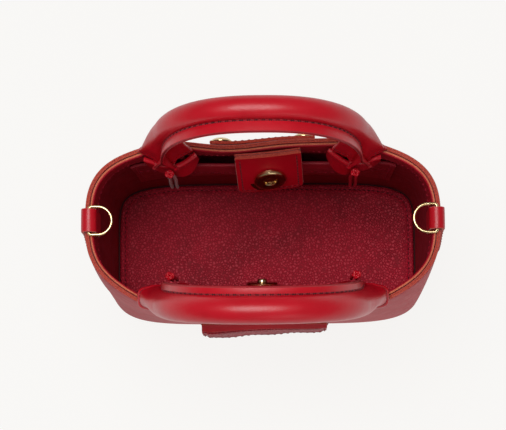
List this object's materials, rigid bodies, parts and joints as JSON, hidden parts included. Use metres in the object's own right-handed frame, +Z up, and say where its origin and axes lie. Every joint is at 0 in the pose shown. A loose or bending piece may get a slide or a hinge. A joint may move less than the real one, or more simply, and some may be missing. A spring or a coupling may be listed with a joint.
{
  "type": "bucket bag",
  "caption": "Small structured leather bucket bag with an oval open top, rolled handles laced inside the rim, side rings, magnetic closure tabs, inner slip pocket and front flap pocket.",
  "frame": {"origin": "on the floor under the middle of the bag", "axes": "+Z up, +X along the bag's width, +Y towards its back, the side of the slip pocket"},
  "size_m": [0.2066, 0.123, 0.2442],
  "materials": {
    "smooth_leather": "smooth red leather with a soft sheen and raw orange-red cut edges",
    "pebbled_leather": "pebbled dark red leather",
    "lining": "matt burgundy microfibre",
    "gold_brass": "polished light gold",
    "filler": "twisted paper and cotton cord",
    "board": "matt stiffening board"
  },
  "bodies": {
    "bag": {"front_panel": "smooth_leather", "back_panel": "smooth_leather", "front_facing": "smooth_leather", "back_facing": "smooth_leather", "slip_pocket": "smooth_leather", "rear_band": "smooth_leather", "front_pocket": "smooth_leather", "ring_tab_left": "smooth_leather", "ring_tab_right": "smooth_leather", "handle_anchor_front_left": "smooth_leather", "handle_anchor_front_right": "smooth_leather", "handle_anchor_back_left": "smooth_leather", "handle_anchor_back_right": "smooth_leather", "handle_collar_front_left": "smooth_leather", "handle_collar_front_right": "smooth_leather", "handle_collar_back_left": "smooth_leather", "handle_collar_back_right": "smooth_leather", "lace_knot_front_left": "smooth_leather", "lace_knot_front_right": "smooth_leather", "lace_knot_back_left": "smooth_leather", "lace_knot_back_right": "smooth_leather", "lace_tail_front_left_a": "smooth_leather", "lace_tail_front_left_b": "smooth_leather", "lace_tail_front_right_a": "smooth_leather", "lace_tail_front_right_b": "smooth_leather", "lace_tail_back_left_a": "smooth_leather", "lace_tail_back_left_b": "smooth_leather", "lace_tail_back_right_a": "smooth_leather", "lace_tail_back_right_b": "smooth_leather", "bottom_panel": "pebbled_leather", "base_insert": "pebbled_leather", "front_lining": "lining", "back_lining": "lining", "rear_stud_left": "gold_brass", "rear_stud_right": "gold_brass", "base_board": "board"},
    "handle_front": {"handle_cover_front": "smooth_leather", "handle_core_front": "filler"},
    "handle_back": {"handle_cover_back": "smooth_leather", "handle_core_back": "filler"},
    "ring_left": {"d_ring_left": "gold_brass"},
    "ring_right": {"d_ring_right": "gold_brass"},
    "closure_back": {"back_tab": "smooth_leather", "back_tab_lining": "lining", "back_snap_socket": "gold_brass", "back_snap_backing": "gold_brass"},
    "closure_front": {"front_tab": "smooth_leather", "front_tab_lining": "lining", "front_snap_stud": "gold_brass", "front_snap_backing": "gold_brass"},
    "flap": {"front_pocket_flap": "pebbled_leather"}
  },
  "joints": [
    {"name": "handle_front_tilt", "type": "hinge", "parent": "bag", "child": "handle_front", "pos_m": [0, -0.0445, 0.1605], "axis": [-1, 0, 0], "range_deg": [-25, 31]},
    {"name": "handle_back_tilt", "type": "hinge", "parent": "bag", "child": "handle_back", "pos_m": [0, 0.0445, 0.1605], "axis": [1, 0, 0], "range_deg": [-25, 31]},
    {"name": "ring_left_swing", "type": "hinge", "parent": "bag", "child": "ring_left", "pos_m": [-0.09885, 0.00251, 0.16125], "axis": [0, -1, 0], "range_deg": [0, 180]},
    {"name": "ring_right_swing", "type": "hinge", "parent": "bag", "child": "ring_right", "pos_m": [0.09885, 0.00251, 0.16125], "axis": [0, 1, 0], "range_deg": [0, 180]},
    {"name": "closure_back_swing", "type": "hinge", "parent": "bag", "child": "closure_back", "pos_m": [0, 0.03925, 0.1585], "axis": [-1, 0, 0], "range_deg": [-4, 64]},
    {"name": "closure_front_swing", "type": "hinge", "parent": "bag", "child": "closure_front", "pos_m": [0, -0.03925, 0.1585], "axis": [1, 0, 0], "range_deg": [-3, 81]},
    {"name": "flap_lift", "type": "hinge", "parent": "bag", "child": "flap", "pos_m": [0, -0.0511, 0.1235], "axis": [-1, 0, 0], "range_deg": [0, 100]}
  ]
}
